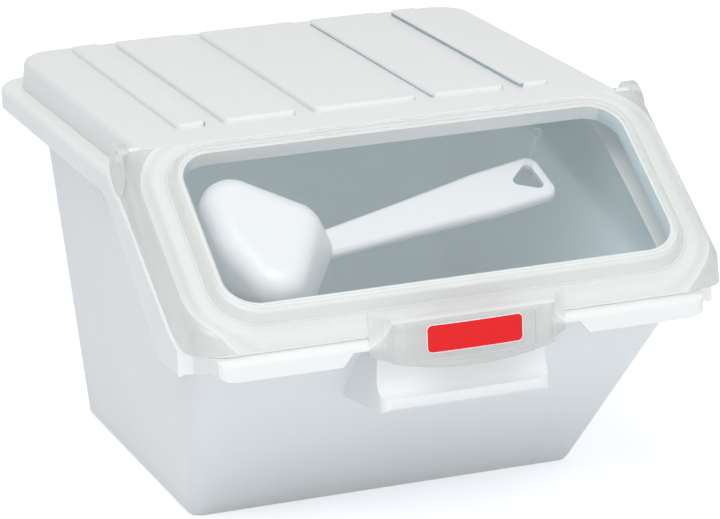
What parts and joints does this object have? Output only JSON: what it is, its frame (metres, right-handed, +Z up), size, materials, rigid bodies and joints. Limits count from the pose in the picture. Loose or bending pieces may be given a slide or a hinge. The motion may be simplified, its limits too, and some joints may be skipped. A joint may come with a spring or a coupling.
{
  "type": "rice bin",
  "caption": "Low tapered ingredient bin with a ribbed cover, a clear lid that flips up over a sloped opening, a pull handle, and a scoop held under the lid.",
  "frame": {"origin": "on the floor, below the middle of the bin's overall width and depth", "axes": "+Z up; -Y towards the front, where the lid's handle is; +X to the right as seen from the front"},
  "size_m": [0.292, 0.388, 0.216],
  "materials": {
    "tub_white": "satin",
    "cover_white": "satin",
    "lid_clear": "clear, glossy",
    "label_red": "glossy film",
    "scoop_white": "satin"
  },
  "bodies": {
    "tub": {"tub": "tub_white"},
    "cover": {"cover": "cover_white"},
    "lid": {"lid": "lid_clear", "label": "label_red"},
    "scoop": {"scoop": "scoop_white"}
  },
  "joints": [
    {"name": "cover_lift", "type": "slide", "parent": "tub", "child": "cover", "axis": [0, 0, 1], "range_m": [0, 0.06]},
    {"name": "lid_hinge", "type": "hinge", "parent": "cover", "child": "lid", "pos_m": [0, -0.064, 0.2085], "axis": [-1, 0, 0], "range_deg": [0, 124]},
    {"name": "scoop_release", "type": "slide", "parent": "lid", "child": "scoop", "axis": [0, 0.5487, -0.836], "range_m": [0, 0.03]}
  ]
}
